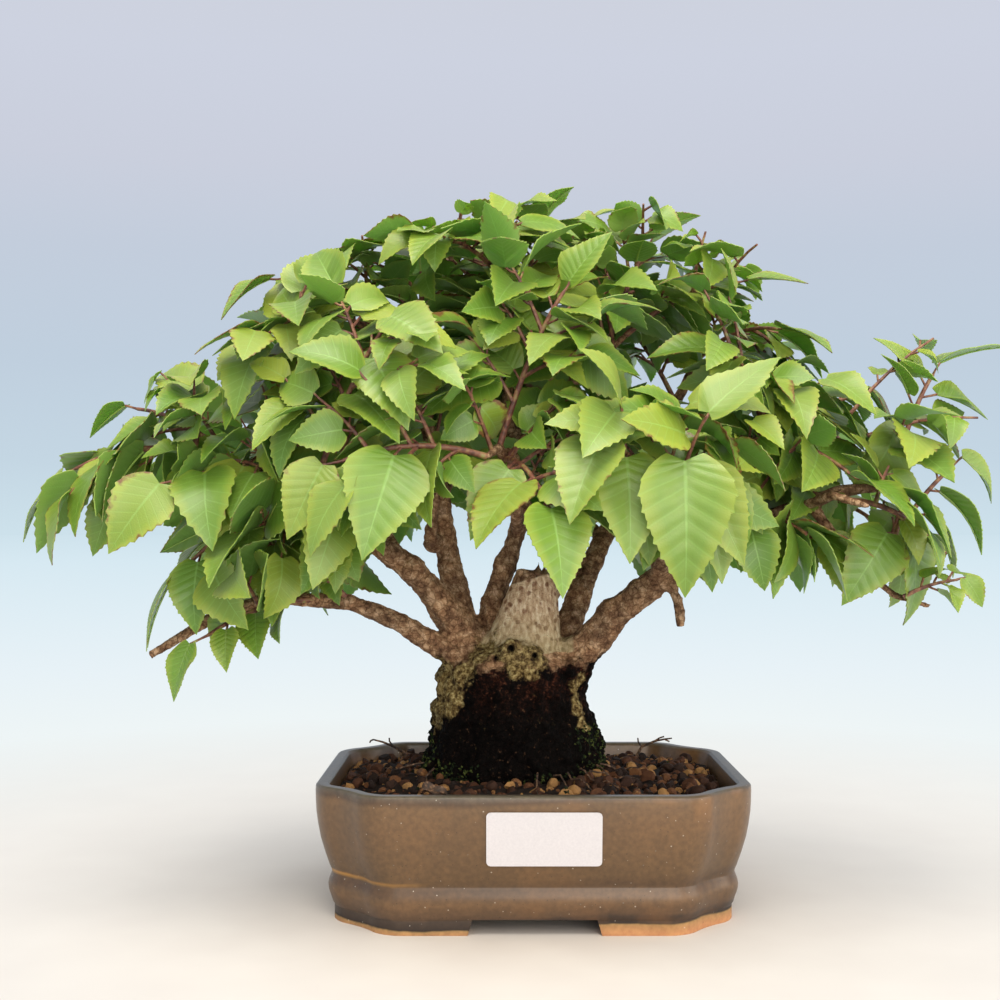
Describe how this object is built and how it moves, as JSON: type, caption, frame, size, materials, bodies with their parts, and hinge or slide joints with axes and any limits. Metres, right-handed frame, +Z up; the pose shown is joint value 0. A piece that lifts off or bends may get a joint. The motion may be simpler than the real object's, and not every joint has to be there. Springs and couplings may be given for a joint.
{
  "type": "korean hornbeam bonsai",
  "caption": "Broad-crowned deciduous bonsai tree with a squat trunk, spreading branches and toothed leaves, in an oblong glazed pot with cut corners and feet.",
  "frame": {"origin": "on the ground, below the middle of the whole outline", "axes": "+X to the right along the long side of the pot, +Y to the back, +Z up"},
  "size_m": [0.3546, 0.1956, 0.2617],
  "materials": {
    "glazed_stoneware": "speckled brown glaze over stoneware, bare clay under the feet",
    "drain_screen_plastic": "matt moulded mesh",
    "granular_soil": "loose dark brown clay granules, damp",
    "bark": "grey-brown bark, dark and mossy at the foot, pale on the cut stump",
    "label_paper": "blank white paper",
    "dead_stem": "dry and weathered",
    "leaf": "soft satin leaf, green with yellow-green edges"
  },
  "bodies": {
    "root": {"pot": "glazed_stoneware", "drain_screen_left": "drain_screen_plastic", "drain_screen_right": "drain_screen_plastic", "soil": "granular_soil", "trunk_and_branches": "bark", "label": "label_paper", "dry_stem_left": "dead_stem", "dry_stem_right": "dead_stem", "leafy_stem_01": "leaf", "leafy_stem_02": "leaf", "leafy_stem_03": "leaf", "leafy_stem_04": "leaf", "leafy_stem_05": "leaf", "leafy_stem_06": "leaf", "leafy_stem_07": "leaf", "leafy_stem_08": "leaf", "leafy_stem_09": "leaf", "leafy_stem_10": "leaf", "leafy_stem_11": "leaf", "leafy_stem_12": "leaf", "leafy_stem_13": "leaf", "leafy_stem_14": "leaf", "leafy_stem_15": "leaf", "leafy_stem_16": "leaf", "leafy_stem_17": "leaf", "leafy_stem_18": "leaf", "leafy_stem_19": "leaf", "leafy_stem_20": "leaf", "leafy_stem_21": "leaf", "leafy_stem_22": "leaf", "leafy_stem_23": "leaf", "leafy_stem_24": "leaf", "leafy_stem_25": "leaf", "leafy_stem_26": "leaf", "leafy_stem_27": "leaf", "leafy_stem_28": "leaf", "leafy_stem_29": "leaf", "leafy_stem_30": "leaf", "leafy_stem_31": "leaf", "leafy_stem_32": "leaf", "leafy_stem_33": "leaf", "leafy_stem_34": "leaf", "leafy_stem_35": "leaf", "leafy_stem_36": "leaf", "leafy_stem_37": "leaf", "leafy_stem_38": "leaf", "leafy_stem_39": "leaf"}
  },
  "joints": []
}
